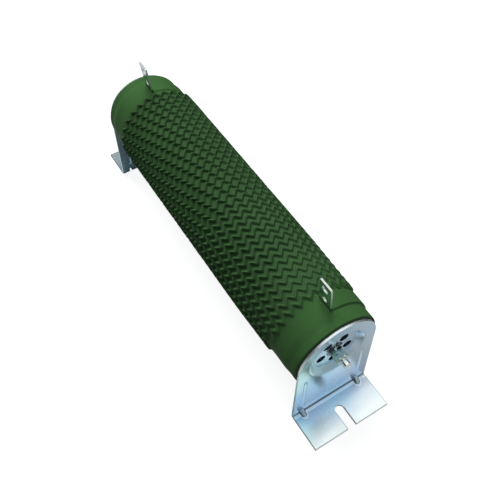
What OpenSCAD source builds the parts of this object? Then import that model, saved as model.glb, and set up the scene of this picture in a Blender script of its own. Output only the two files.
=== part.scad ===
// Corrugated wirewound resistor: a zig-zag resistance ribbon wound on edge round a ceramic tube.
// X runs along the tube, front is +X, Z is up, and the feet stand on Z = 0.

/* [Ceramic tube] */
// Outside diameter of the tube
tube_od = 60; // [50:0.5:70]
// Bore of the tube
tube_bore = 41; // [34:0.5:46]
// Length of the tube
tube_len = 257; // [220:1:320]
// Rounding of the tube's end edges
tube_edge = 1; // [0.4:0.1:2]
// Height of the tube's axis over the mounting plane
axis_h = 62.6; // [50:0.1:80]

/* [Resistance ribbon] */
// Turns of the ribbon
turns = 36.4; // [24:0.1:38]
// Height of the enamelled ribbon over the tube
ribbon_h = 3.3; // [1.5:0.1:4]
// Reach of the corrugation along the tube, peak to peak
zigzag = 3.6; // [2:0.1:4.2]
// Least gap between the corrugations of neighbouring turns
turn_gap = 0.25; // [0.15:0.05:0.8]
// Waves in each turn on the rear part of the winding
rear_waves = 27.27; // [20:0.01:28]
// Waves in each turn on the front part of the winding
front_waves = 26.95; // [20:0.01:28]
// Turns of the front part
front_turns = 15; // [0:1:24]
// Angle about the axis at which the winding starts
start_angle = 25; // [0:1:360]
// Distance left between the winding and the front terminal band
front_gap = 0.5; // [0.3:0.1:8]
// Distance left between the winding and the rear terminal band
rear_gap = 2.6; // [0.3:0.1:8]

/* [Terminal bands] */
// Width of the band strip
band_w = 11; // [8:0.1:16]
// Thickness of the band strip
strip_t = 0.5; // [0.3:0.05:1.2]
// Distance from the tube's end to the band
band_inset = 10.8; // [6:0.1:20]
// Rise of the tab over the band
tab_rise = 22.1; // [17:0.1:26]
// Corner rounding of the tab
tab_corner = 1.2; // [0.5:0.1:3]
// Lean of the front tab out of the upright, in degrees
front_lean = 4.5; // [0:0.5:8]
// Lean of the rear tab out of the upright, in degrees
rear_lean = 7; // [0:0.5:8]
// Distance from the tube's top line to the tab's foot, across the tube
tab_foot = 0.8; // [0:0.1:2]
// Bend radius where the band turns up into the tab
tab_root_r = 1.2; // [0.6:0.1:2]
// Bolt hole of the tab
tab_hole_d = 5.5; // [4:0.1:6.5]
// Distance from the tab's top edge to the bolt hole's centre
tab_hole_drop = 5.6; // [4.5:0.1:7]
// Clamping hole near the root of the tab
clamp_hole_d = 4; // [2.5:0.1:4.4]
// Height of the clamping hole's centre over the band
clamp_hole_rise = 5.8; // [3.8:0.1:6]

/* [Bracket] */
// Sheet thickness
sheet_t = 1.6; // [1:0.1:2.5]
// How far the bracket's round top stays inside the tube's outside
top_inset = 1.5; // [0.2:0.1:3]
// How far the foot's sides stay inside the tube's outside
foot_inset = 0.4; // [0:0.1:3]
// Length of the foot, from the upright's outer face
foot_len = 26; // [20:0.1:40]
// Inside bend radius of the fold
fold_r = 1.2; // [0.5:0.1:2]
// Width of the open mounting slot
slot_w = 6.5; // [4.5:0.1:9]
// Depth of the open mounting slot
slot_depth = 17; // [10:0.1:19]
// Depth of the pressed dish that centres the tube
dish_depth = 3.5; // [2.5:0.1:5]
// Slope of the dish's wall, in degrees
dish_slope = 45; // [35:1:60]
// Inside bend radius of the dish
dish_r = 1; // [0.5:0.1:1.5]
// Number of vent holes in the dish
vents = 5; // [3:1:6]
// Diameter of a vent hole
vent_d = 6.5; // [4:0.1:7.5]
// Land left between a vent and the bend of the dish
vent_land = 2.6; // [1:0.1:3.5]
// Distance from the foot's side to the middle of a stiffening bead
bead_inset = 7.4; // [5:0.1:9]
// Width of a bead
bead_w = 3; // [2:0.1:4]
// Height of a bead over the sheet
bead_h = 0.6; // [0.3:0.05:0.9]
// Height of a bead's lower end over the mounting plane
bead_foot = 11; // [9:0.1:16]
// Distance from the tube's axis down to a bead's upper end
bead_drop = 16.6; // [14:0.1:30]
// Reach of the gusset darts along the foot and the upright
dart_reach = 4.6; // [3:0.1:6]
// Radius of a gusset dart
dart_r = 2.1; // [1.5:0.1:2.3]

/* [Fastening] */
// Thickness of the end gaskets
gasket_t = 0.6; // [0.4:0.1:3]
// Distance from the tube's outside to the gasket's rim
gasket_inset = 0.8; // [0.2:0.1:1.4]
// Diameter of the through rod
rod_d = 5; // [4:0.1:6]
// Length of rod past the jam nut
rod_end = 4.9; // [2:0.1:12]
// Width of a nut across its flats
nut_af = 8; // [7.6:0.1:10]
// Height of a nut
nut_h = 4; // [2.5:0.1:5]
// Thickness of the toothed lock washer
washer_t = 0.8; // [0.4:0.1:1.2]
// Diameter over the washer's teeth
washer_od = 12; // [9.8:0.1:13]
// Teeth of the lock washer
washer_teeth = 8; // [6:1:12]

/* [Hidden] */
$fn = 96;

// Clearances
seat_fit = 0.05;      // between a piece and what it is seated on
thread_fit = 0.05;    // between the rod and the nuts, on the radius
rod_hole_fit = 0.25;  // between the rod and the brackets, on the radius
dish_fit = 0.3;       // between the dish and the tube's bore, on the radius
leaf_gap = 0.1;       // between the two leaves of a tab
root_lap = 0.02;      // how far the bend at a tab's root runs into the band and the leaf
cut = 1;              // how far a cutter runs past what it cuts

// Places along the tube, all for the front end
tube_r = tube_od / 2;
tube_end = tube_len / 2;
sheet_back = tube_end + gasket_t;
sheet_face = sheet_back + sheet_t;
sheet_mid = sheet_back + sheet_t / 2;
band_mid = tube_end - band_inset - band_w / 2;
band_inner = band_mid - band_w / 2;
dish_floor = sheet_face - dish_depth;
nut_seat = dish_floor + washer_t;
jam_seat = nut_seat + nut_h;
rod_tip = jam_seat + nut_h + rod_end;

// Band and tab
band_in_r = tube_r + seat_fit;
band_out_r = band_in_r + strip_t;
tab_half_t = leaf_gap / 2 + strip_t;
tab_top = band_out_r + tab_rise;

// Winding: its pitch fills the length between the bands, its root fills what the zig-zag leaves
winding_len = 2 * band_inner - front_gap - rear_gap;
winding_mid = (rear_gap - front_gap) / 2;
pitch = (winding_len + turn_gap) / (turns + 1);
root_w = pitch - zigzag - turn_gap;
rear_turns = turns - front_turns;
rear_total = rear_turns * rear_waves;
stations = floor(2 * (rear_total + front_turns * front_waves));
half_wave = 180 / min(rear_waves, front_waves);
root_r = (tube_r + seat_fit) / cos(half_wave / 2);
crest_r = tube_r + ribbon_h;

// Dish: arcs of the sheet's two bends, with the wall straight between them
bend_drop = 1 - cos(dish_slope);
bend_run = (2 * dish_r + sheet_t) * sin(dish_slope);
wall_rise = dish_depth - (2 * dish_r + sheet_t) * bend_drop;
dish_rim_r = tube_bore / 2 - dish_fit + dish_r * sin(dish_slope)
           + (gasket_t - dish_r * bend_drop) / tan(dish_slope);
dish_floor_r = dish_rim_r - wall_rise / tan(dish_slope) - bend_run;
dish_lap = 1;         // how far the dish's flat rim runs into the upright
arc_steps = 5;        // steps in each bend of the dish
rod_hole_r = rod_d / 2 + rod_hole_fit;
vent_out = dish_floor_r - vent_land - vent_d / 2;

// Bracket outline: straight sides drawn as tangents from the foot to the round top
fold_h = sheet_t + fold_r;
foot_half = tube_r - foot_inset;
bracket_top_r = tube_r - top_inset;
bracket_span = 2 * max(foot_half, bracket_top_r) + cut;
side_angle = acos(bracket_top_r / norm([foot_half, axis_h])) - atan2(axis_h, foot_half);
side_y = bracket_top_r * cos(side_angle);
side_z = axis_h + bracket_top_r * sin(side_angle);

// Darts: a bar at 45 degrees over the fold, with a hollow of less radius behind it
dart_out = dart_reach / sqrt(2) - dart_r;
hollow_set = sheet_t / 2;
hollow_r = dart_r - hollow_set;
hollow_steps = 2;

// Beads: part of a round bar whose chord is the bead's width
bead_y = foot_half - bead_inset;
bead_len = axis_h - bead_drop - bead_foot;
bead_bar_r = (bead_w * bead_w / 4 + bead_h * bead_h) / (2 * bead_h);

enamel = "#3f6b35";
zinc = "#b9c9d6";
tinned = "#c9ccc8";
fibre = "#26282a";
steel = "#a9aeb0";

// Points on an arc about c, from angle a0 to a1
function arc(c, r, a0, a1) = [
  for (i = [0 : arc_steps])
  let (a = a0 + (a1 - a0) * i / arc_steps)
  c + r * [cos(a), sin(a)]
];

// Turns wound when a number of waves has been laid, from the rear end on
function turn_at(waves) =
  waves < rear_total ? waves / rear_waves : rear_turns + (waves - rear_total) / front_waves;

// One corner of the ribbon: angle about the axis and place along it
function corner(k) =
  let (t = turn_at(k / 2))
  [start_angle + 360 * t, winding_mid + pitch * (t - turns / 2) + (k % 2 == 0 ? -1 : 1) * zigzag / 2];

// Leads that take the ribbon's two ends over to the terminal bands
function lead(end, side) = [end[0] + side * half_wave, side * (band_inner - seat_fit - root_w / 2)];

// A point at radius r and angle a about the tube's axis
function on_tube(x, a, r) = [x, r * cos(a), axis_h + r * sin(a)];

// Puts a shape drawn about Z onto the tube's axis, with its Z along X
module on_axis(x) {
  translate([x, 0, axis_h])
  rotate([0, 90, 0])
  children();
}

// Extrudes a drawing in Y and Z along X, centred on x
module across(x, length) {
  translate([x, 0, 0])
  rotate([90, 0, 90])
  linear_extrude(length, center = true)
  children();
}

module rear_end() {
  mirror([1, 0, 0])
  children();
}

module rounded_rect(w, h, r) {
  translate([r, 0])
  square([w - 2 * r, h]);
  translate([0, r])
  square([w, h - 2 * r]);
  for (x = [r, w - r], y = [r, h - r])
  translate([x, y])
  circle(r);
}

module ceramic_tube() {
  color(enamel)
  on_axis(-tube_end)
  rotate_extrude()
  translate([tube_bore / 2, 0])
  rounded_rect(tube_r - tube_bore / 2, tube_len, tube_edge);
}

module resistance_ribbon() {
  first = corner(0);
  last = corner(stations);
  path = concat([lead(first, -1)], [for (k = [0 : stations]) corner(k)], [lead(last, 1)]);
  // Section of the ribbon: two root corners on the tube and the crest over them
  points = [
    for (p = path)
    each [
      on_tube(p[1] - root_w / 2, p[0], root_r),
      on_tube(p[1] + root_w / 2, p[0], root_r),
      on_tube(p[1], p[0], crest_r)
    ]
  ];
  ends = len(points) - 3;
  sides = [
    for (i = [0 : 3 : ends - 3], s = [0 : 2])
    let (a = i + s, b = i + (s + 1) % 3)
    each [[a, a + 3, b], [b, a + 3, b + 3]]
  ];
  caps = [[0, 1, 2], [ends + 2, ends + 1, ends]];
  color(enamel)
  polyhedron(points, concat(caps, sides));
}

// Bend between the band and a leaf of the tab, drawn on the side of +Y for a tab at an offset
module tab_root(offset) {
  y = offset + tab_half_t + tab_root_r;
  z = sqrt(pow(band_out_r + tab_root_r, 2) - y * y);
  foot = [y, z] * band_in_r / (band_out_r + tab_root_r);
  leaf_mid = offset + tab_half_t - strip_t / 2;
  difference() {
    polygon([[leaf_mid, z], [y, z], foot, [leaf_mid, foot[1]]]);
    translate([y, z])
    circle(tab_root_r + root_lap);
  }
}

// The hoop round the tube with the tab standing on it, slit into its two leaves
module terminal_band(lean) {
  tab_offset = (tab_foot + band_out_r * sin(lean)) / cos(lean);
  color(tinned)
  translate([band_mid, 0, axis_h])
  rotate([lean, 0, 0])
  difference() {
    union() {
      across(0, band_w)
      circle(band_out_r);
      for (side = [0, 1])
      mirror([0, side, 0])
      across(0, band_w)
      tab_root(side == 0 ? tab_offset : -tab_offset);
      translate([0, tab_offset, 0])
      rotate([90, 0, 0])
      linear_extrude(2 * tab_half_t, center = true)
      translate([-band_w / 2, 0])
      rounded_rect(band_w, tab_top, tab_corner);
    }
    across(0, band_w + cut)
    circle(band_in_r);
    across(0, band_w + cut)
    translate([tab_offset - leaf_gap / 2, 0])
    square([leaf_gap, tab_top + cut]);
    for (hole = [[tab_top - tab_hole_drop, tab_hole_d], [band_out_r + clamp_hole_rise, clamp_hole_d]])
    translate([0, tab_offset, hole[0]])
    rotate([90, 0, 0])
    cylinder(h = 2 * tab_half_t + cut, d = hole[1], center = true);
  }
}

// Section of the folded sheet: upright, quarter bend and foot, with the upright's face on X = 0
module fold_section() {
  translate([-sheet_t, fold_h])
  square([sheet_t, axis_h + bracket_top_r - fold_h]);
  translate([fold_r, 0])
  square([foot_len - fold_r, sheet_t]);
  intersection() {
    translate([fold_r, fold_h])
    difference() {
      circle(fold_h);
      circle(fold_r);
    }
    translate([-sheet_t, 0])
    square(fold_h);
  }
}

// Outline of the bracket seen along the tube
module bracket_outline() {
  translate([0, axis_h])
  circle(bracket_top_r);
  polygon([[-foot_half, 0], [foot_half, 0], [side_y, side_z], [-side_y, side_z]]);
}

module bracket_blank() {
  intersection() {
    translate([sheet_face, 0, 0])
    rotate([90, 0, 0])
    linear_extrude(bracket_span, center = true)
    fold_section();
    across(sheet_face, 2 * foot_len + cut)
    bracket_outline();
  }
}

// The pressed dish, with its own flat rim and the rod's hole in its floor
module dish() {
  rim = [dish_rim_r, -dish_r - sheet_t];
  floor_bend = [dish_floor_r, dish_r - dish_depth];
  front = concat(
    [[rod_hole_r, -dish_depth]],
    arc(floor_bend, dish_r, 270, 270 + dish_slope),
    arc(rim, dish_r + sheet_t, 90 + dish_slope, 90),
    [[dish_rim_r + dish_lap, 0]]
  );
  back = concat(
    [[dish_rim_r + dish_lap, -sheet_t]],
    arc(rim, dish_r, 90, 90 + dish_slope),
    arc(floor_bend, dish_r + sheet_t, 270 + dish_slope, 270),
    [[rod_hole_r, -dish_depth - sheet_t]]
  );
  on_axis(sheet_face)
  rotate_extrude()
  polygon(concat(front, back));
}

// A round bar with ball ends that stands bead_h out of the plane at x
module bead_bar(x) {
  translate([x + bead_h - bead_bar_r, 0, bead_foot]) {
    cylinder(h = bead_len, r = bead_bar_r);
    sphere(bead_bar_r);
    translate([0, 0, bead_len])
    sphere(bead_bar_r);
  }
}

// Bar across the fold at 45 degrees, with its axis out of the inside corner by a distance
module dart_bar(out, r) {
  translate([sheet_face, 0, sheet_t])
  rotate([0, 45, 0])
  translate([0, 0, out])
  rotate([0, 90, 0])
  cylinder(h = 3 * dart_reach, r = r, center = true);
}

// Dart that stiffens the fold: the bar trimmed to the inside of the fold
module dart() {
  intersection() {
    dart_bar(dart_out, dart_r);
    translate([sheet_mid, -dart_r, sheet_t / 2])
    cube([2 * dart_reach, 2 * dart_r, 2 * dart_reach]);
  }
}

// Hollow that the press leaves behind a dart, open at the outside of the fold
module dart_hollow() {
  for (step = [0 : hollow_steps])
  dart_bar(dart_out - hollow_set - step * hollow_r, hollow_r);
}

module both_beads() {
  for (side = [-1, 1])
  translate([0, side * bead_y, 0])
  children();
}

module vent_holes() {
  for (i = [0 : vents - 1])
  on_axis(dish_floor)
  rotate(360 * i / vents)
  translate([vent_out, 0, 0])
  cylinder(h = 2 * sheet_t + cut, d = vent_d, center = true);
}

module mounting_slot() {
  translate([sheet_face + foot_len - slot_depth + slot_w / 2, 0, -cut]) {
    cylinder(h = sheet_t + 2 * cut, d = slot_w);
    translate([0, -slot_w / 2, 0])
    cube([slot_depth, slot_w, sheet_t + 2 * cut]);
  }
}

module bracket() {
  color(zinc)
  difference() {
    union() {
      difference() {
        bracket_blank();
        on_axis(sheet_face)
        cylinder(h = 2 * sheet_t + cut, r = dish_rim_r + dish_lap / 2, center = true);
      }
      dish();
      both_beads()
      intersection() {
        bead_bar(sheet_face);
        translate([sheet_mid, -bead_w, 0])
        cube([sheet_t + bead_h, 2 * bead_w, axis_h]);
      }
      both_beads()
      dart();
    }
    both_beads() {
      bead_bar(sheet_back);
      dart_hollow();
    }
    vent_holes();
    mounting_slot();
  }
}

module gasket() {
  color(fibre)
  on_axis(tube_end)
  difference() {
    cylinder(h = gasket_t, r = tube_r - gasket_inset);
    translate([0, 0, -cut])
    cylinder(h = gasket_t + 2 * cut, r = dish_rim_r + dish_fit);
  }
}

module through_rod() {
  chamfer = rod_d / 8;
  color(steel)
  on_axis(0)
  rotate_extrude()
  polygon([
    [0, -rod_tip], [rod_d / 2 - chamfer, -rod_tip], [rod_d / 2, -rod_tip + chamfer],
    [rod_d / 2, rod_tip - chamfer], [rod_d / 2 - chamfer, rod_tip], [0, rod_tip]
  ]);
}

// Round bore shared by the nuts and washers on the rod
module rod_bore(height) {
  translate([0, 0, -cut])
  cylinder(h = height + 2 * cut, r = rod_d / 2 + thread_fit);
}

module tooth_washer() {
  tooth_r = washer_od / 2;
  ring_r = (rod_d / 2 + tooth_r) / 2;
  tooth_w = PI * ring_r / washer_teeth;
  color(steel)
  on_axis(dish_floor)
  difference() {
    linear_extrude(washer_t)
    union() {
      circle(ring_r);
      for (i = [0 : washer_teeth - 1])
      rotate(360 * i / washer_teeth)
      polygon([[0, -tooth_w / 2], [tooth_r, -tooth_w / 3], [tooth_r, tooth_w / 3], [0, tooth_w / 2]]);
    }
    rod_bore(washer_t);
  }
}

// A hexagon nut with both faces chamfered to the width across its flats
module hex_nut(x) {
  corner_r = nut_af / sqrt(3);
  flat_r = nut_af / 2;
  chamfer = (corner_r - flat_r) / sqrt(3);
  color(steel)
  on_axis(x)
  difference() {
    intersection() {
      cylinder(h = nut_h, r = corner_r, $fn = 6);
      rotate_extrude()
      polygon([
        [0, 0], [flat_r, 0], [corner_r, chamfer],
        [corner_r, nut_h - chamfer], [flat_r, nut_h], [0, nut_h]
      ]);
    }
    rod_bore(nut_h);
  }
}

ceramic_tube();
resistance_ribbon();
terminal_band(front_lean);  // front_terminal_band
rear_end() terminal_band(rear_lean);  // rear_terminal_band
bracket();  // front_bracket
rear_end() bracket();  // rear_bracket
gasket();  // front_gasket
rear_end() gasket();  // rear_gasket
through_rod();
tooth_washer();  // front_tooth_washer
rear_end() tooth_washer();  // rear_tooth_washer
hex_nut(nut_seat);  // front_nut
rear_end() hex_nut(nut_seat);  // rear_nut
hex_nut(jam_seat);  // front_jam_nut
rear_end() hex_nut(jam_seat);  // rear_jam_nut
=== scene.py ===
# %% [markdown]
# # A corrugated wirewound resistor, dressed over its CAD solids
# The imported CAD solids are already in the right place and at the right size. This lesson leaves
# them where they are and adds what solids alone don't have: a fired enamel coat, a ribbon whose
# enamelled edges are round, screw threads, zinc plate with its faint colours, and studio light.

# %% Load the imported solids
import math

import bmesh
import bpy
import numpy as np
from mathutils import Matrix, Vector


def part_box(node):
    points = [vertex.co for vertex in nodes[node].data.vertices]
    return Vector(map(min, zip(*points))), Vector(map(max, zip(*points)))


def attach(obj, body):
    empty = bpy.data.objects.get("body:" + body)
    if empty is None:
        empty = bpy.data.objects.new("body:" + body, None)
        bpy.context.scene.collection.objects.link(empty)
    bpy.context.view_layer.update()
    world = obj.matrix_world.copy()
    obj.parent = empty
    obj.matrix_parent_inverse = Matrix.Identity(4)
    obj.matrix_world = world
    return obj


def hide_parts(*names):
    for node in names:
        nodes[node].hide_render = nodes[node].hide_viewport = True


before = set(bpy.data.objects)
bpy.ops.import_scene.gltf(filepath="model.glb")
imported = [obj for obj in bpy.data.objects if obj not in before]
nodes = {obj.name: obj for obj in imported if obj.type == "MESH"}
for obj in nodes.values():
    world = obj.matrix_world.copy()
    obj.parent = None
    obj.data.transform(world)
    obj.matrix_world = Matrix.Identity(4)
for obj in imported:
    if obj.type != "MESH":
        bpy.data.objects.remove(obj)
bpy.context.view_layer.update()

scene = bpy.context.scene
mm = 0.001

# %% [markdown]
# ## The camera
# The photograph was taken from above the front end, looking down along the tube. A camera can be
# aimed by eye, but a fit to the tube's outline, its end rims and the bracket gives the place, the
# turn and the lens at once, so the three are simply written down here.

# %% Place the camera
camera_lens = bpy.data.cameras.new("photo_camera")
camera_lens.sensor_width = 36
camera_lens.lens = 46.36
camera = bpy.data.objects.new("photo_camera", camera_lens)
camera.location = Vector((255.46, -136.94, 412.42)) * mm
camera.rotation_euler = [math.radians(turn) for turn in (36.176, 0.496, 57.967)]
scene.collection.objects.link(camera)
scene.camera = camera
print("camera", [round(v, 3) for v in camera.location], "lens", camera_lens.lens)

# %% [markdown]
# ## Helpers for materials
# Every finish here is a small tree of nodes. Such a tree can be wired by hand in the shader
# editor, but several trees that share the same habits are quicker to write. One helper adds a node
# and sets its inputs, one starts a material with its main shader, and the others each stand for
# one kind of node. Patterns read the Object coordinate: every piece sits at the origin, so that is
# the place on the part in metres, the same in the CAD and here.


# %% Start a finish
def add_node(tree, kind, **inputs):
    node = tree.nodes.new(kind)
    for name, value in inputs.items():
        node.inputs[name.replace("_", " ")].default_value = value
    return node


def to_output(tree, shader, kind="ShaderNodeOutputMaterial"):
    output = tree.nodes.new(kind)
    tree.links.new(shader, output.inputs["Surface"])


def start_finish(name, **inputs):
    finish = bpy.data.materials.new(name)
    finish.use_nodes = True
    tree = finish.node_tree
    tree.nodes.clear()
    shader = add_node(tree, "ShaderNodeBsdfPrincipled", **inputs)
    to_output(tree, shader.outputs["BSDF"])
    place = tree.nodes.new("ShaderNodeTexCoord").outputs["Object"]
    return finish, tree, shader, place


def feed(tree, shader, socket, value):
    tree.links.new(value, shader.inputs[socket])


def paint(node_name, finish):
    piece = nodes[node_name]
    piece.data.materials.clear()
    piece.data.materials.append(finish)


print(len(nodes), "solids wait for a finish")


# %% Clouds, colours and bumps
def noise(tree, place, scale, detail=3.0, roughness=0.5):
    cloud = add_node(tree, "ShaderNodeTexNoise", Scale=scale, Detail=detail, Roughness=roughness)
    tree.links.new(place, cloud.inputs["Vector"])
    return cloud.outputs["Fac"]


def ramp(tree, value, *stops):
    colours = tree.nodes.new("ShaderNodeValToRGB")
    steps = colours.color_ramp.elements
    while len(steps) < len(stops):
        steps.new(0.5)
    for step, (at, colour) in zip(steps, stops):
        step.position = at
        step.color = (*colour, 1.0)
    tree.links.new(value, colours.inputs["Fac"])
    return colours.outputs["Color"]


def blend_colour(tree, share, first, second):
    mixer = tree.nodes.new("ShaderNodeMix")
    mixer.data_type = "RGBA"
    tree.links.new(share, mixer.inputs[0])
    tree.links.new(first, mixer.inputs[6])
    tree.links.new(second, mixer.inputs[7])
    return mixer.outputs[2]


def bump(tree, shader, height, depth, under=None):
    dent = add_node(tree, "ShaderNodeBump", Strength=1.0, Distance=depth)
    tree.links.new(height, dent.inputs["Height"])
    if under is not None:
        tree.links.new(under, dent.inputs["Normal"])
    feed(tree, shader, "Normal", dent.outputs["Normal"])
    return dent.outputs["Normal"]


print("helpers: noise, ramp, blend_colour and bump")


# %% Numbers over a surface
def split(tree, vector):
    parts = tree.nodes.new("ShaderNodeSeparateXYZ")
    tree.links.new(vector, parts.inputs["Vector"])
    return parts.outputs["X"], parts.outputs["Y"], parts.outputs["Z"]


def remap(tree, value, low, high, to_low, to_high):
    limits = {"From_Min": low, "From_Max": high, "To_Min": to_low, "To_Max": to_high}
    fit = add_node(tree, "ShaderNodeMapRange", **limits)
    tree.links.new(value, fit.inputs["Value"])
    return fit.outputs["Result"]


def calc(tree, operation, first, second=0.0):
    step = tree.nodes.new("ShaderNodeMath")
    step.operation = operation
    for socket, value in zip(step.inputs, (first, second)):
        if isinstance(value, float):
            socket.default_value = value
        else:
            tree.links.new(value, socket)
    return step.outputs["Value"]


print("helpers: split, remap and calc")

# %% [markdown]
# ## Green enamel
# The tube and its winding are dipped in one coat of fired green enamel. It is satin, with little
# shine. The winding's greens are a touch darker than the collars': painted shade, for the shade
# among the ribs. One green would do from afar; here slow noise shifts the colour of each between
# two greens, faster noise varies the gloss, and two bumps give the coat its sag and its fine grain.

# %% Enamel colour
winding_end, collar_start = 101 * mm, 108 * mm


def enamel_colour(tree, place):
    patches = noise(tree, place, scale=28.0, detail=4.0)
    on_collar = ramp(tree, patches, (0.3, (0.052, 0.138, 0.040)), (0.7, (0.066, 0.173, 0.052)))
    # painted shade: the winding's greens are darker than the collar's, standing for the shade among the
    # ribs
    winding_green_painted_shade = ramp(tree, patches, (0.3, (0.049, 0.113, 0.041)), (0.7, (0.062, 0.141, 0.052)))
    out = calc(tree, "ABSOLUTE", split(tree, place)[0])
    collar_share = remap(tree, out, winding_end, collar_start, 0.0, 1.0)
    return blend_colour(tree, collar_share, winding_green_painted_shade, on_collar)


print("collar green starts", round(collar_start / mm), "mm from the middle")

# %% Enamel finish
enamel, enamel_tree, enamel_shader, enamel_place = start_finish("green_enamel", Specular_IOR_Level=0.06)
feed(enamel_tree, enamel_shader, "Base Color", enamel_colour(enamel_tree, enamel_place))
enamel_streaks = noise(enamel_tree, enamel_place, scale=160.0, detail=2.0)
feed(enamel_tree, enamel_shader, "Roughness", remap(enamel_tree, enamel_streaks, 0.3, 0.7, 0.50, 0.64))
soft_waves = noise(enamel_tree, enamel_place, scale=220.0, detail=2.0)
fine_grain = noise(enamel_tree, enamel_place, scale=1800.0, detail=2.0)
sag = bump(enamel_tree, enamel_shader, soft_waves, depth=0.10 * mm)
bump(enamel_tree, enamel_shader, fine_grain, depth=0.02 * mm, under=sag)
paint("ceramic_tube", enamel)
print("enamel on the tube")

# %% [markdown]
# ## Zinc plate
# The brackets are folded from zinc-plated sheet with a blue-white passivation, which shows faint
# cyan, blue and lilac clouds. Slow noise through a colour ramp gives such clouds on any surface,
# and a drift across the sheet takes them from cyan at one edge to lilac at the other. The low part
# of the upright is painted bluer, a painted reflection of the shaded floor in front of it. Painted
# highlights and painted shade could be drawn on a map of the sheet. Here each such place is a share
# between 0 and 1 that is worked out from the place itself, so a few helpers for such shares come
# first: both keeps what several shares have in common, either takes the largest of them, and band
# rises and falls again along a value.


# %% Shares of a surface
def both(tree, *shares):
    joined = shares[0]
    for share in shares[1:]:
        joined = calc(tree, "MULTIPLY", joined, share)
    return joined


def either(tree, *shares):
    joined = shares[0]
    for share in shares[1:]:
        joined = calc(tree, "MAXIMUM", joined, share)
    return joined


def band(tree, value, rise, fall):
    return both(tree, remap(tree, value, *rise, 0.0, 1.0), remap(tree, value, *fall, 1.0, 0.0))


def distance(tree, across, along):
    squares = [calc(tree, "MULTIPLY", part, part) for part in (across, along)]
    return calc(tree, "SQRT", calc(tree, "ADD", *squares))


def darken(tree, colour, share, depth):
    scale = tree.nodes.new("ShaderNodeVectorMath")
    scale.operation = "SCALE"
    tree.links.new(colour, scale.inputs[0])
    tree.links.new(remap(tree, share, 0.0, 1.0, 1.0, 1.0 - depth), scale.inputs["Scale"])
    return scale.outputs["Vector"]


def mm_from(start, low, high):
    return start + low * mm, start + high * mm


print("helpers: both, either, band, distance, darken and mm_from")

# %% Zinc clouds
zinc, zinc_tree, zinc_shader, zinc_place = start_finish("zinc_plate", Metallic=1.0)
zinc_x, zinc_y, zinc_z = split(zinc_tree, zinc_place)
sheet_half = 29.0 * mm
clouds = noise(zinc_tree, zinc_place, scale=24.0, detail=2.0, roughness=0.4)
drift = remap(zinc_tree, zinc_y, -sheet_half, sheet_half, -0.16, 0.16)
clouded = ramp(
    zinc_tree,
    calc(zinc_tree, "ADD", clouds, drift),
    (0.30, (0.64, 0.92, 0.89)),
    (0.45, (0.46, 0.68, 0.81)),
    (0.57, (0.50, 0.68, 0.83)),
    (0.70, (0.57, 0.68, 0.77)),
)
# painted reflection: the low part of the upright turns bluer, as if mirroring the shaded floor
painted_low_blue = ramp(zinc_tree, clouds, (0.3, (0.48, 0.70, 0.90)), (0.7, (0.56, 0.72, 0.96)))
low_panel = band(zinc_tree, zinc_z, rise=(3 * mm, 6 * mm), fall=(16 * mm, 40 * mm))
painted_blue_share = both(zinc_tree, low_panel, 0.7)
clouded = blend_colour(zinc_tree, painted_blue_share, clouded, painted_low_blue)
painted_highlight_colour = ramp(zinc_tree, clouds, (0.3, (0.86, 0.96, 0.97)), (0.7, (0.90, 0.97, 0.98)))
print("zinc clouds ready,", len(zinc_tree.nodes), "nodes")

# %% [markdown]
# ### Painted highlights and painted shade on the brackets
# A painted highlight grows along the foot towards its end, weaker on the rear foot, and the rough
# rim of the round top carries a painted highlight too. Painted highlights also run as a line beside
# the fold and as a ring round the toe of each dart. Painted shade darkens the fold and the flanks of
# the darts, the foot near the fold, a line along the foot's outline and slot, and the whole rear
# foot. All of it follows edges whose places are known from the CAD, so every share below starts
# from the distance to one of them.

# %% Painted highlight on the foot and the rim
sheet_t, sheet_face, foot_end = 1.6 * mm, 130.7 * mm, 156.7 * mm
axis_height = 62.6 * mm
rim_r, rim_low, rim_high = 28.35 * mm, 48 * mm, 70 * mm
rear_to_front = (-1 * mm, 1 * mm)
out = calc(zinc_tree, "ABSOLUTE", zinc_x)
aside = calc(zinc_tree, "ABSOLUTE", zinc_y)
on_foot = calc(zinc_tree, "LESS_THAN", zinc_z, sheet_t + 0.1 * mm)
# painted highlight: the foot brightens towards its end, half as much on the rear foot
near_end = remap(zinc_tree, out, sheet_face + 5 * mm, foot_end - 4 * mm, 0.0, 1.0)
less_at_rear = remap(zinc_tree, zinc_x, *rear_to_front, 0.5, 1.0)
painted_foot_highlight = both(zinc_tree, on_foot, near_end, less_at_rear)
from_axis = distance(zinc_tree, zinc_y, calc(zinc_tree, "SUBTRACT", zinc_z, axis_height))
past_rim = calc(zinc_tree, "GREATER_THAN", from_axis, rim_r)
# painted highlight: the rim of the round top is painted bright; it is also made rougher
rim_highlight_mask = both(zinc_tree, past_rim, remap(zinc_tree, zinc_z, rim_low, rim_high, 0.0, 1.0))
print("foot from", round(sheet_face / mm, 1), "to", round(foot_end / mm, 1), "mm")

# %% Painted shade along the punched outline
foot_half, slot_half, slot_straight = 29.6 * mm, 3.25 * mm, 13.7 * mm
line = 0.4 * mm
# painted shade: a dark line along the foot's end, its sides and the slot, a painted dark reflection of
# the edge
at_end = both(zinc_tree, calc(zinc_tree, "GREATER_THAN", out, foot_end - line), 0.45)
at_side = calc(zinc_tree, "GREATER_THAN", aside, foot_half - line)
in_slot = calc(zinc_tree, "LESS_THAN", aside, slot_half + line)
past_slot = calc(zinc_tree, "GREATER_THAN", out, foot_end - slot_straight)
cut = either(zinc_tree, at_end, at_side, both(zinc_tree, in_slot, past_slot))
outline = both(zinc_tree, cut, on_foot)
print("punched outline", round(line / mm, 1), "mm wide")
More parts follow.
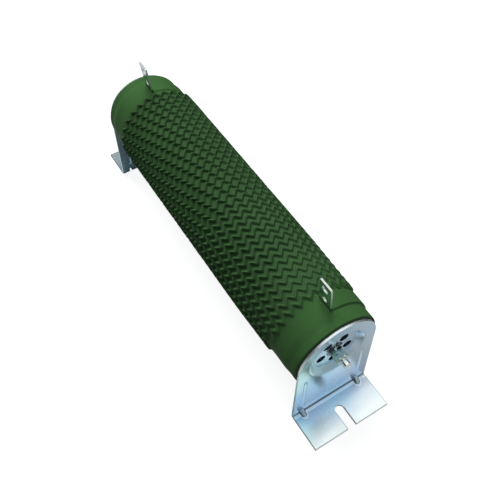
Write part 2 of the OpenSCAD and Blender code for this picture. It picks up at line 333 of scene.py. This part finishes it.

# %% Painted shade in the fold and on the darts
dart_y, bead_foot = 22.2 * mm, 9 * mm
# painted shade: dark in the inside of the fold and on the flanks of the darts
low_in_fold = band(zinc_tree, zinc_z, mm_from(sheet_t, 0.1, 0.5), mm_from(sheet_t, 1.4, 2.3))
near_panel = calc(zinc_tree, "LESS_THAN", out, sheet_face + 1.3 * mm)
less_aside = remap(zinc_tree, aside, 24.5 * mm, 27 * mm, 1.0, 0.35)
fold_shade_painted = both(zinc_tree, low_in_fold, near_panel, less_aside)
from_dart_mid = calc(zinc_tree, "ABSOLUTE", calc(zinc_tree, "SUBTRACT", aside, dart_y))
over_foot = remap(zinc_tree, zinc_z, *mm_from(sheet_t, 0.2, 0.6), 0.0, 1.0)
off_panel = remap(zinc_tree, out, *mm_from(sheet_face, 0.2, 0.6), 0.0, 1.0)
below_beads = calc(zinc_tree, "LESS_THAN", zinc_z, bead_foot)
flank = remap(zinc_tree, from_dart_mid, 0.7 * mm, 1.8 * mm, 0.05, 0.65)
painted_crease_shade = either(zinc_tree, fold_shade_painted, both(zinc_tree, over_foot, off_panel, below_beads, flank))
print("darts", round(dart_y / mm, 1), "mm off the middle")

# %% Painted highlights by the fold and darts, painted shade on the feet
toe_x, toe_half_length, toe_half_width = 132.3 * mm, 2.97 * mm, 2.1 * mm
# painted highlight: a bright ring round the toe of each dart
toe_along = calc(zinc_tree, "DIVIDE", calc(zinc_tree, "SUBTRACT", out, toe_x), toe_half_length)
toe_across = calc(zinc_tree, "DIVIDE", from_dart_mid, toe_half_width)
from_toe = distance(zinc_tree, toe_along, toe_across)
painted_toe_highlight = both(zinc_tree, band(zinc_tree, from_toe, (1.0, 1.1), (1.3, 1.5)), on_foot)
# painted highlight: a bright line on the foot just beside the fold
fold_highlight_band = band(zinc_tree, out, mm_from(sheet_face, 1.2, 1.6), mm_from(sheet_face, 2.0, 2.6))
painted_fold_highlight = both(zinc_tree, fold_highlight_band, on_foot, 0.6)
painted_highlights = either(zinc_tree, painted_foot_highlight, rim_highlight_mask, painted_toe_highlight, painted_fold_highlight)
# painted shade: the foot is darker near the fold, and the whole rear foot is darker
foot_root = remap(zinc_tree, out, *mm_from(sheet_face, 4.0, 10.0), 1.0, 0.0)
painted_root_shade = both(zinc_tree, on_foot, foot_root, calc(zinc_tree, "SUBTRACT", 1.0, painted_fold_highlight))
painted_rear_foot_shade = both(zinc_tree, on_foot, remap(zinc_tree, zinc_x, *rear_to_front, 1.0, 0.0))
painted_foot_shade = either(zinc_tree, painted_root_shade, painted_rear_foot_shade)
print("toe rings", round(2 * toe_half_length / mm, 1), "mm long")

# %% Zinc finish
# painted highlights lighten the zinc here; the painted shade below darkens it
zinc_colour = blend_colour(zinc_tree, painted_highlights, clouded, painted_highlight_colour)
# painted shade: on the feet, along the outline, in the fold and on the darts
for share, depth in ((painted_foot_shade, 0.25), (outline, 0.6), (painted_crease_shade, 0.62)):
    zinc_colour = darken(zinc_tree, zinc_colour, share, depth)
feed(zinc_tree, zinc_shader, "Base Color", zinc_colour)
zinc_streaks = noise(zinc_tree, zinc_place, scale=60.0, detail=3.0)
rough_sheet = remap(zinc_tree, zinc_streaks, 0.3, 0.7, 0.22, 0.30)
rough_rim = both(zinc_tree, rim_highlight_mask, 0.45)
feed(zinc_tree, zinc_shader, "Roughness", either(zinc_tree, rough_sheet, rough_rim))
sheet_waves = noise(zinc_tree, zinc_place, scale=30.0, detail=1.0)
bump(zinc_tree, zinc_shader, sheet_waves, depth=1.2 * mm)
for end in ("front", "rear"):
    paint(f"{end}_bracket", zinc)
print("zinc on the brackets,", len(zinc_tree.nodes), "nodes")

# %% [markdown]
# ## Steel and fibre
# The small parts have quieter finishes. The rod is bright plated steel, the nuts are darker, the
# lock washers are dark spring steel, and the gaskets matt fibre. One colour for each would look
# like plastic, so every one is a call of the same function, with its own noise: the darker places
# are the rougher ones, and a finer noise gives a slight bump.


# %% A worn finish
def worn_finish(name, dark, light, rough, smooth, metallic, grain):
    finish, tree, shader, place = start_finish(name, Metallic=metallic)
    wear = noise(tree, place, scale=grain, detail=4.0)
    feed(tree, shader, "Base Color", ramp(tree, wear, (0.3, dark), (0.7, light)))
    feed(tree, shader, "Roughness", remap(tree, wear, 0.3, 0.7, rough, smooth))
    fine_pits = noise(tree, place, scale=grain * 3.0, detail=2.0)
    bump(tree, shader, fine_pits, depth=0.02 * mm)
    print(name, "from", dark, "to", light)
    return finish


rod_steel = worn_finish(
    "rod_steel",
    dark=(0.84, 0.87, 0.86),
    light=(0.95, 0.97, 0.96),
    rough=0.20,
    smooth=0.10,
    metallic=1.0,
    grain=400.0,
)

# %% Nut steel, washer steel and gasket fibre
nut_steel = worn_finish(
    "nut_steel",
    dark=(0.38, 0.46, 0.43),
    light=(0.66, 0.74, 0.70),
    rough=0.16,
    smooth=0.07,
    metallic=1.0,
    grain=400.0,
)
dark_steel = worn_finish(
    "dark_steel",
    dark=(0.22, 0.28, 0.27),
    light=(0.44, 0.51, 0.50),
    rough=0.38,
    smooth=0.22,
    metallic=1.0,
    grain=500.0,
)
fibre = worn_finish(
    "gasket_fibre",
    dark=(0.014, 0.017, 0.016),
    light=(0.030, 0.035, 0.033),
    rough=0.95,
    smooth=0.75,
    metallic=0.0,
    grain=700.0,
)
for end in ("front", "rear"):
    paint(f"{end}_gasket", fibre)

# %% [markdown]
# ## Tinned tabs on enamelled hoops
# A terminal band is one strip: its hoop lies under the enamel and its tab stands out bare. Two
# materials would meet in a straight line. One material does both: it reads the height over the
# tube's axis and changes from enamel to tin just above the hoop, along an edge that noise makes
# uneven, as a dipped edge is. The cut edges and the rims of the holes are rougher, and their paler
# tin is a painted highlight.

# %% Where the tab is bare
strip, strip_tree, strip_shader, strip_place = start_finish("tinned_strip")
strip_x, _, strip_z = split(strip_tree, strip_place)
tab_root = axis_height + 33.4 * mm
dip_noise = noise(strip_tree, strip_place, scale=260.0)
ragged = remap(strip_tree, dip_noise, 0.0, 1.0, -1.0 * mm, 1.0 * mm)
ragged_height = calc(strip_tree, "ADD", strip_z, ragged)
bare = remap(strip_tree, ragged_height, *mm_from(tab_root, -0.2, 0.2), 0.0, 1.0)
print("tabs bare above", round(tab_root / mm, 1), "mm")

# %% Cut edges of the tab
tab_mid, tab_half, tab_top = 112.2 * mm, 5.35 * mm, 114.5 * mm
tab_holes = ((109.8 * mm, 2.75 * mm), (98.9 * mm, 2.0 * mm))
from_tab_mid = calc(strip_tree, "SUBTRACT", calc(strip_tree, "ABSOLUTE", strip_x), tab_mid)
top_edge = calc(strip_tree, "GREATER_THAN", strip_z, tab_top)
side_edge = calc(strip_tree, "GREATER_THAN", calc(strip_tree, "ABSOLUTE", from_tab_mid), tab_half)
cut_edge_rough_highlight = either(strip_tree, top_edge, side_edge)
for hole_z, hole_r in tab_holes:
    from_hole = distance(strip_tree, from_tab_mid, calc(strip_tree, "SUBTRACT", strip_z, hole_z))
    hole_edge = calc(strip_tree, "LESS_THAN", from_hole, hole_r + 0.1 * mm)
    cut_edge_rough_highlight = either(strip_tree, cut_edge_rough_highlight, hole_edge)
print("cut edges along", len(tab_holes), "holes, the sides and the top of a tab")

# %% Tinned finish
tin_wear = noise(strip_tree, strip_place, scale=350.0, detail=4.0)
dull_tin = ramp(strip_tree, tin_wear, (0.3, (0.44, 0.60, 0.70)), (0.7, (0.58, 0.74, 0.84)))
highlight_tin = ramp(strip_tree, tin_wear, (0.3, (0.86, 0.93, 0.87)), (0.7, (0.93, 0.98, 0.93)))
# painted highlight: the cut edges and hole rims get a paler tin, as where they catch the light
tin_colour = blend_colour(strip_tree, cut_edge_rough_highlight, dull_tin, highlight_tin)
coat_colour = enamel_colour(strip_tree, strip_place)
feed(strip_tree, strip_shader, "Base Color", blend_colour(strip_tree, bare, coat_colour, tin_colour))
feed(strip_tree, strip_shader, "Metallic", bare)
rough_tin = remap(strip_tree, tin_wear, 0.3, 0.7, 0.22, 0.12)
rough_edge = both(strip_tree, cut_edge_rough_highlight, 0.42)
feed(strip_tree, strip_shader, "Roughness", either(strip_tree, rough_tin, rough_edge))
bump(strip_tree, strip_shader, tin_wear, depth=0.02 * mm)
for end in ("front", "rear"):
    paint(f"{end}_terminal_band", strip)
print("tin and enamel on the terminal bands,", len(strip_tree.nodes), "nodes")

# %% [markdown]
# ## Making a mesh from rings
# Ribbon, enamel, rod, nuts and washers are all skins, so one helper makes them. It takes rows of
# points, one closed ring after another, joins each ring to the next and closes the two ends, or
# joins the last ring to the first. Modelling by hand would take thousands of faces; rings worked
# out with numpy take a few lines.


# %% Faces between rings
def ring_faces(count, sides, endless):
    here = np.arange(count * sides).reshape(count, sides)
    beside = np.roll(here, -1, axis=1)
    ahead = np.roll(here, -1, axis=0)
    ahead_beside = np.roll(beside, -1, axis=0)
    last = count if endless else count - 1
    faces = np.stack([here, beside, ahead_beside, ahead], axis=-1)[:last].reshape(-1, 4).tolist()
    if not endless:
        faces += [here[0][::-1].tolist(), here[-1].tolist()]
    return faces


print("a box of two rings has", len(ring_faces(2, 4, False)), "faces")


# %% Loft helper
def smooth_mesh(name, points, faces, sharp_edges):
    mesh = bpy.data.meshes.new(name)
    mesh.from_pydata(points, [], faces)
    work = bmesh.new()
    work.from_mesh(mesh)
    bmesh.ops.recalc_face_normals(work, faces=work.faces)
    work.to_mesh(mesh)
    work.free()
    mesh.polygons.foreach_set("use_smooth", [True] * len(faces))
    if sharp_edges:
        mesh.set_sharp_from_angle(angle=math.radians(sharp_edges))
    return mesh


def loft(name, rings, finish, endless=False, sharp_edges=None):
    faces = ring_faces(*rings.shape[:2], endless)
    mesh = smooth_mesh(name, (rings.reshape(-1, 3) * mm).tolist(), faces, sharp_edges)
    mesh.materials.append(finish)
    piece = bpy.data.objects.new(name, mesh)
    scene.collection.objects.link(piece)
    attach(piece, "root")
    print(name, len(faces), "faces")
    return piece


def around_tube(x, angle, radius):
    x, angle, radius = np.broadcast_arrays(x, angle, radius)
    return np.stack([x, radius * np.cos(angle), axis_height / mm + radius * np.sin(angle)], axis=-1)


print("rings turn about a line", round(axis_height / mm, 1), "mm over the floor")

# %% [markdown]
# ## The corrugated ribbon
# The real ribbon is a thin strip bent to a zig-zag and wound on edge, then enamelled, so every
# edge is round and every foot runs out in a fillet. The CAD ribbon has the right path with a
# plain tapered section. A subdivision modifier would blunt the zig-zag, so the same path is swept
# again here with a rounder section and with eased corners. The enamel ran to one side before it
# was fired, which makes the ribs a little broader there, and it half drowned the last turns at the
# front.

# %% Turns and waves
turns, front_turns = 36.4, 15
rear_waves, front_waves = 27.27, 26.95
band_inner = 106.7
front_gap, rear_gap, turn_gap = 0.5, 2.6, 0.25
pitch = (2 * band_inner - front_gap - rear_gap + turn_gap) / (turns + 1)
winding_mid = (rear_gap - front_gap) / 2
rear_turns = turns - front_turns
rear_total = rear_turns * rear_waves
half_waves = math.floor(2 * (rear_total + front_turns * front_waves))
print("winding:", half_waves, "half waves, pitch", round(pitch, 3), "mm")

# %% Path of the winding
start_angle, zigzag, corner_easing = 25.0, 3.6, 0.82
stations = (0.0, 0.13, 0.34, 0.66, 0.87)
steps = np.array([half_wave + at for half_wave in range(half_waves) for at in stations] + [half_waves])
laid = steps / 2
front_turn = rear_turns + (laid - rear_total) / front_waves
turn = np.where(laid < rear_total, laid / rear_waves, front_turn)
along = steps % 2
sway = np.where(along < 1, 2 * along - 1, 3 - 2 * along)
sway = np.arcsin(corner_easing * np.sin(sway * np.pi / 2)) / math.asin(corner_easing)
path_angle = np.radians(start_angle + 360 * turn)
path_x = winding_mid + pitch * (turn - turns / 2) + sway * zigzag / 2
print("ribbon path:", len(steps), "stations")

# %% How the enamel ran
run_side = np.radians(10)
bed, width_swing = 1.3, 0.1


def ease(value, low, high):
    share = np.clip((value - low) / (high - low), 0, 1)
    return share * share * (3 - 2 * share)


def run_of_enamel(angle):
    return np.cos(angle - run_side)


def drowned_at_front(depth, over_turns):
    return depth * (1 - ease(turns - turn, 0, over_turns))


many_turns = drowned_at_front(depth=0.35, over_turns=8)
lead_out = drowned_at_front(depth=0.55, over_turns=0.45)
drowned = np.maximum(many_turns, lead_out)
print("last rib keeps", round(100 * (1 - float(drowned.max()))), "% of its height over the bed")

# %% Sweep the ribbon
tube_r = 30.0
half_section = ((-2.4, 0.85), (-1.6, 1.55), (-1.08, 2.35), (-0.68, 2.96))
other_half = [(-x, rise) for x, rise in reversed(half_section)]
section = np.array([*half_section, (0.0, 3.28), *other_half])
ribbon_rise = section[:, 1] - drowned[:, None] * (section[:, 1] - bed)
ribbon_width = 1 + width_swing * run_of_enamel(path_angle)[:, None]
ribbon_x = path_x[:, None] + section[:, 0] * ribbon_width
ribbon_rings = around_tube(ribbon_x, path_angle[:, None], tube_r + ribbon_rise)
ribbon = loft("enamelled_ribbon", ribbon_rings, enamel, sharp_edges=65)
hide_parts("resistance_ribbon")

# %% [markdown]
# ## The enamel coat
# Between the turns the enamel lies as a bed, deeper on the side it ran to and towards the front.
# At the ends it runs over the two hoops and thins out on the bare collar. Right of a tab the hoop
# still shows as a low step; left of it the coat hides the hoop. Sculpting could give this by hand,
# but the coat is one sleeve whose radius is a function of the place along the tube and of the
# angle round it, so a grid of numbers does it exactly.


# %% Bed between the turns
def towards(start, goal, share):
    return start + (goal - start) * share


bed_swing, front_bed, low_bed = 0.35, 0.1, 0.8
deepens, sinks_at_ends = (-30, 95), (97, 104)
fine_step, coarse_step, angle_step = 0.3, 1.5, 1.5
end_x = np.arange(103.0, 124.6, fine_step)
middle_x = np.arange(-102.0, 102.1, coarse_step)
coat_x = np.concatenate([-end_x[::-1], middle_x, end_x])[:, None]
coat_angle = np.arange(0.0, 360.0, angle_step)[None, :]
reach = np.abs(coat_x)
bed_here = bed + bed_swing * run_of_enamel(np.radians(coat_angle))
bed_here = bed_here + front_bed * ease(coat_x, *deepens)
bed_rise = towards(bed_here, low_bed, ease(reach, *sinks_at_ends))
print("bed up to", round(float(bed_rise.max()), 2), "mm over the tube")

# %% Run over the hoops
cover, groove, hoop_step, buried = 0.62, 0.4, 1.1, -0.05
covers_hoop, thins_out = (104, 110), (117.2, 124)
before_hoop, inner_rim, outer_rim = (103.5, 105.5), (106.3, 107.3), (117.3, 118.3)
beside_tab, underneath = (86.5, 89.5), (250, 290)
smooth_side = towards(bed_rise, cover, ease(reach, *covers_hoop))
smooth_side = towards(smooth_side, buried, ease(reach, *thins_out))
stepped_side = towards(bed_rise, groove, ease(reach, *before_hoop))
stepped_side = stepped_side + (hoop_step - groove) * ease(reach, *inner_rim)
stepped_side = towards(stepped_side, buried, ease(reach, *outer_rim))
right_of_tab = 1 - ease(coat_angle, *beside_tab) + ease(coat_angle, *underneath)
coat_rise = towards(smooth_side, stepped_side, right_of_tab)
print("coat from", round(float(coat_rise.min()), 2), "to", round(float(coat_rise.max()), 2), "mm")

# %% Build the coat
inside_tube = 0.3
coat_rings = around_tube(coat_x, np.radians(coat_angle), tube_r + coat_rise)
inner_ends = around_tube(coat_x[[-1, 0]], np.radians(coat_angle), tube_r - inside_tube)
loft("enamel_coat", np.concatenate([coat_rings, inner_ends]), enamel, endless=True)

# %% [markdown]
# ## Threads on the rod
# The through rod has a rolled M5 thread at each end and a plain, bevelled point. A screw modifier
# could wind the thread, but a ring whose radius follows the thread's phase makes shank, thread and
# point in a single skin.

# %% Threaded rod
thread_pitch, thread_depth, thread_run, run_in, plain_point = 0.8, 0.30, 20.0, 1.0, 3.6
rod_r, tip_r = 2.49, 2.0
rod_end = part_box("through_rod")[1][0] / mm
end_rows = np.arange(rod_end - thread_run, rod_end, 0.1)
rod_x = np.concatenate([[-rod_end], -end_rows[::-1], end_rows, [rod_end]])[:, None]
rod_angle = np.linspace(0, 2 * np.pi, 36, endpoint=False)[None, :]
phase = (rod_x / thread_pitch + rod_angle / (2 * np.pi)) % 1
from_point = rod_end - np.abs(rod_x)
thread_share = ease(-from_point, -thread_run, run_in - thread_run)
thread_share = thread_share * (1 - ease(-from_point, -plain_point - thread_pitch, -plain_point))
rod_radius = rod_r - thread_share * thread_depth * np.abs(2 * phase - 1)
rod_radius = np.minimum(rod_radius, tip_r + from_point)
rod = loft("threaded_rod", around_tube(rod_x, rod_angle, rod_radius), rod_steel)
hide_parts("through_rod")

# %% [markdown]
# ## Nuts and lock washers
# Two nuts and a toothed washer hold each end. Nuts that are tightened one on the other never stop
# in line, so each one here has its own turn. A cylinder of six sides with a bevel modifier would
# have flat bevels; here a nut is a skin of rings as well. Its radius is the hexagon's, cut down by
# a cone at both faces, which leaves the curved edges of a real nut. The washer's rings run round
# the rod, and its teeth are twisted so that they bite.

# %% Nuts
across_flats, nut_bore, countersink = 8.0, 2.55, 0.4
nut_chamfer, cone_cut, cone_slope = 0.36, 0.1, math.sqrt(3)
bevel = nut_chamfer * np.array([0, 0.33, 0.67, 1.0])
nut_turns = {"front_nut": 22.0, "front_jam_nut": 40.0, "rear_nut": 41.0, "rear_jam_nut": 15.0}
nut_angle = np.arange(0.0, 360.0, 6.0)[None, :]
hexagon = across_flats / 2 / np.cos(np.radians((nut_angle + 30) % 60 - 30))
bore = nut_bore + countersink * np.array([1.0, 0.0, 0.0, 1.0])[:, None]
for node_name, nut_turn in nut_turns.items():
    low, high = (corner[0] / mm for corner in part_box(node_name))
    outside = np.concatenate([low + bevel, high - bevel[::-1]])[:, None]
    cone = across_flats / 2 + cone_slope * np.minimum(outside - low, high - outside) - cone_cut
    inside = np.array([high, high - countersink, low + countersink, low])[:, None]
    turned = np.radians(nut_angle + nut_turn)
    shell = around_tube(outside, turned, np.minimum(hexagon, cone))
    nut_rings = np.concatenate([shell, around_tube(inside, turned, bore)])
    nut_name = f"{node_name}_hexagon"
    nut = loft(nut_name, nut_rings, nut_steel, endless=True, sharp_edges=30)
    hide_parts(node_name)

# %% Teeth of the lock washers
teeth, half_tooth, tooth_r, ring_r, washer_bore = 8, 0.3, 6.0, 4.3, 2.6
washer_sheet, tooth_twist, hair = 0.4, 0.2, 0.01
washer_angle = np.arange(0.0, 360.0, 2.5)[:, None]
along_tooth = (washer_angle * teeth / 360) % 1 - 0.5
tooth = np.where(np.abs(along_tooth) < half_tooth, 1.0, 0.0)
outer_r = ring_r + (tooth_r - ring_r) * tooth
flat = np.zeros_like(tooth)
radii = np.concatenate([flat + washer_bore, flat + ring_r, outer_r + hair], axis=1)
lift = np.concatenate([flat, flat, tooth * along_tooth / half_tooth * tooth_twist], axis=1)
print(teeth, "teeth, twisted by", tooth_twist, "mm each way")

# %% Lock washers
for end in ("front", "rear"):
    low, high = (corner[0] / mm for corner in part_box(f"{end}_tooth_washer"))
    middle = (low + high) / 2 + lift
    washer_x = np.concatenate([middle + washer_sheet / 2, middle[:, ::-1] - washer_sheet / 2], axis=1)
    washer_r = np.concatenate([radii, radii[:, ::-1]], axis=1)
    washer_rings = around_tube(washer_x, np.radians(washer_angle), washer_r)
    washer_name = f"{end}_star_washer"
    washer = loft(washer_name, washer_rings, dark_steel, endless=True, sharp_edges=30)
    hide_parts(f"{end}_tooth_washer")

# %% [markdown]
# ## Floor
# The photograph stands on pure white. More lamp power would burn the object out, so the white
# comes from the floor as the camera sees it, by way of the Light Path node: the camera gets white
# paper with a faint shadow, bright metal gets the paper with its true shadow, and the object's
# undersides get the light of a dimmer paper.


# %% Paper for three kinds of ray
def by_ray(tree, for_camera, for_mirror, for_light):
    path = tree.nodes.new("ShaderNodeLightPath")
    shader = for_light
    for ray, other in (("Is Glossy Ray", for_mirror), ("Is Camera Ray", for_camera)):
        mixer = tree.nodes.new("ShaderNodeMixShader")
        tree.links.new(path.outputs[ray], mixer.inputs[0])
        tree.links.new(shader, mixer.inputs[1])
        tree.links.new(other, mixer.inputs[2])
        shader = mixer.outputs["Shader"]
    return shader


def paper_shader(tree, white, glow):
    lit = add_node(tree, "ShaderNodeBsdfDiffuse", Color=(white, white, white, 1.0))
    shine = add_node(tree, "ShaderNodeEmission", Strength=glow)
    together = tree.nodes.new("ShaderNodeAddShader")
    tree.links.new(lit.outputs["BSDF"], together.inputs[0])
    tree.links.new(shine.outputs["Emission"], together.inputs[1])
    return together.outputs["Shader"]


print("helpers: by_ray and paper_shader")


# %% Floor
def stage_sheet(name, corners):
    mesh = bpy.data.meshes.new(name)
    mesh.from_pydata(corners, [], [(0, 1, 2, 3)])
    sheet = bpy.data.objects.new(name, mesh)
    scene.collection.objects.link(sheet)
    finish = bpy.data.materials.new(name)
    finish.use_nodes = True
    finish.node_tree.nodes.clear()
    mesh.materials.append(finish)
    return sheet, finish.node_tree


def flat_corners(x_span, y_span, height=0.0):
    (left, right), (near, far) = x_span, y_span
    return [(left, near, height), (right, near, height), (right, far, height), (left, far, height)]


floor_span = (-4.0, 4.0)
floor, paper_tree = stage_sheet("floor", flat_corners(floor_span, floor_span, -0.2 * mm))
seen_paper = paper_shader(paper_tree, white=0.40, glow=0.88)
mirrored_paper = paper_shader(paper_tree, white=0.80, glow=0.0)
lighting_paper = paper_shader(paper_tree, white=0.24, glow=0.0)
to_output(paper_tree, by_ray(paper_tree, seen_paper, mirrored_paper, lighting_paper))
print(floor.name, floor_span[1] - floor_span[0], "m wide")

# %% [markdown]
# ## World, cards and lamp
# Bright metal shows what stands round it, so a studio puts dark cards there: without them the
# brackets and nuts would have no outlines. Four cards stand round the part and two lie on the
# floor, under the winding and along its right side. The one under the winding is a painted shadow,
# a dark sheet where the floor lies in the part's shade. The camera never sees them. The light itself
# is one broad soft box behind and above the part, and a plain pale fill from the world.


# %% Standing cards
def dark_card(name, corners, level):
    card, tree = stage_sheet(name, corners)
    shine = add_node(tree, "ShaderNodeEmission", Strength=level)
    to_output(tree, shine.outputs["Emission"])
    card.visible_camera = False
    card.visible_diffuse = False
    card.visible_shadow = False
    return card


def wall_corners(start, end, height):
    return [(*start, 0.0), (*end, 0.0), (*end, height), (*start, height)]


wall, front_wall, left_wall = 1.3, 1.0, -0.7
front_corners = wall_corners((front_wall, -wall), (front_wall, wall), height=1.1)
back_corners = wall_corners((-wall, -wall), (-wall, wall), height=1.5)
right_corners = wall_corners((-wall, wall), (wall, wall), height=1.2)
left_corners = wall_corners((-wall, left_wall), (wall, left_wall), height=0.8)
dark_card("front_card", front_corners, level=0.45)
dark_card("back_card", back_corners, level=0.42)
right_card = dark_card("right_card", right_corners, level=0.12)
left_card = dark_card("left_card", left_corners, level=0.05)
right_card.visible_diffuse = True
left_card.visible_diffuse = True

# %% Cards on the floor
under_x, under_half, bracket_x = (-0.111, 0.06), 0.04, 0.11
# painted shadow: a dark sheet under the winding, seen only by the metal, for the floor's shade there
dark_card("floor_shadow_card", flat_corners(under_x, (-under_half, under_half)), level=0.08)
dark_card("floor_card", flat_corners((-wall, bracket_x), (under_half, wall)), level=0.06)

# %% World
world = bpy.data.worlds.new("studio")
scene.world = world
world.use_nodes = True
sky = world.node_tree
sky.nodes.clear()


def sky_light(colour, strength):
    return add_node(sky, "ShaderNodeBackground", Color=colour, Strength=strength).outputs["Background"]


white = sky_light((1.0, 1.0, 1.0, 1.0), 1.1)
fill = sky_light((0.82, 0.97, 1.0, 1.0), 0.26)
to_output(sky, by_ray(sky, white, white, fill), "ShaderNodeOutputWorld")
print("world:", world.name)


# %% Soft box
def soft_box(name, place, aim, size, power):
    lamp = bpy.data.lights.new(name, "AREA")
    lamp.shape = "RECTANGLE"
    lamp.size, lamp.size_y = size
    lamp.energy = power
    box = bpy.data.objects.new(name, lamp)
    box.location = place
    box.rotation_euler = (Vector(aim) - Vector(place)).to_track_quat("-Z", "Y").to_euler()
    scene.collection.objects.link(box)
    return box


key = soft_box("key_box", place=(-1.35, 0.12, 2.05), aim=(0.0, 0.0, 0.05), size=(1.6, 1.6), power=47.5)
key.visible_glossy = False
print("lamp:", key.name, key.data.energy, "W")

# %% [markdown]
# ## Finish
# The plain Standard view keeps colours about as they are written.

# %% Finish
scene.view_settings.view_transform = "Standard"
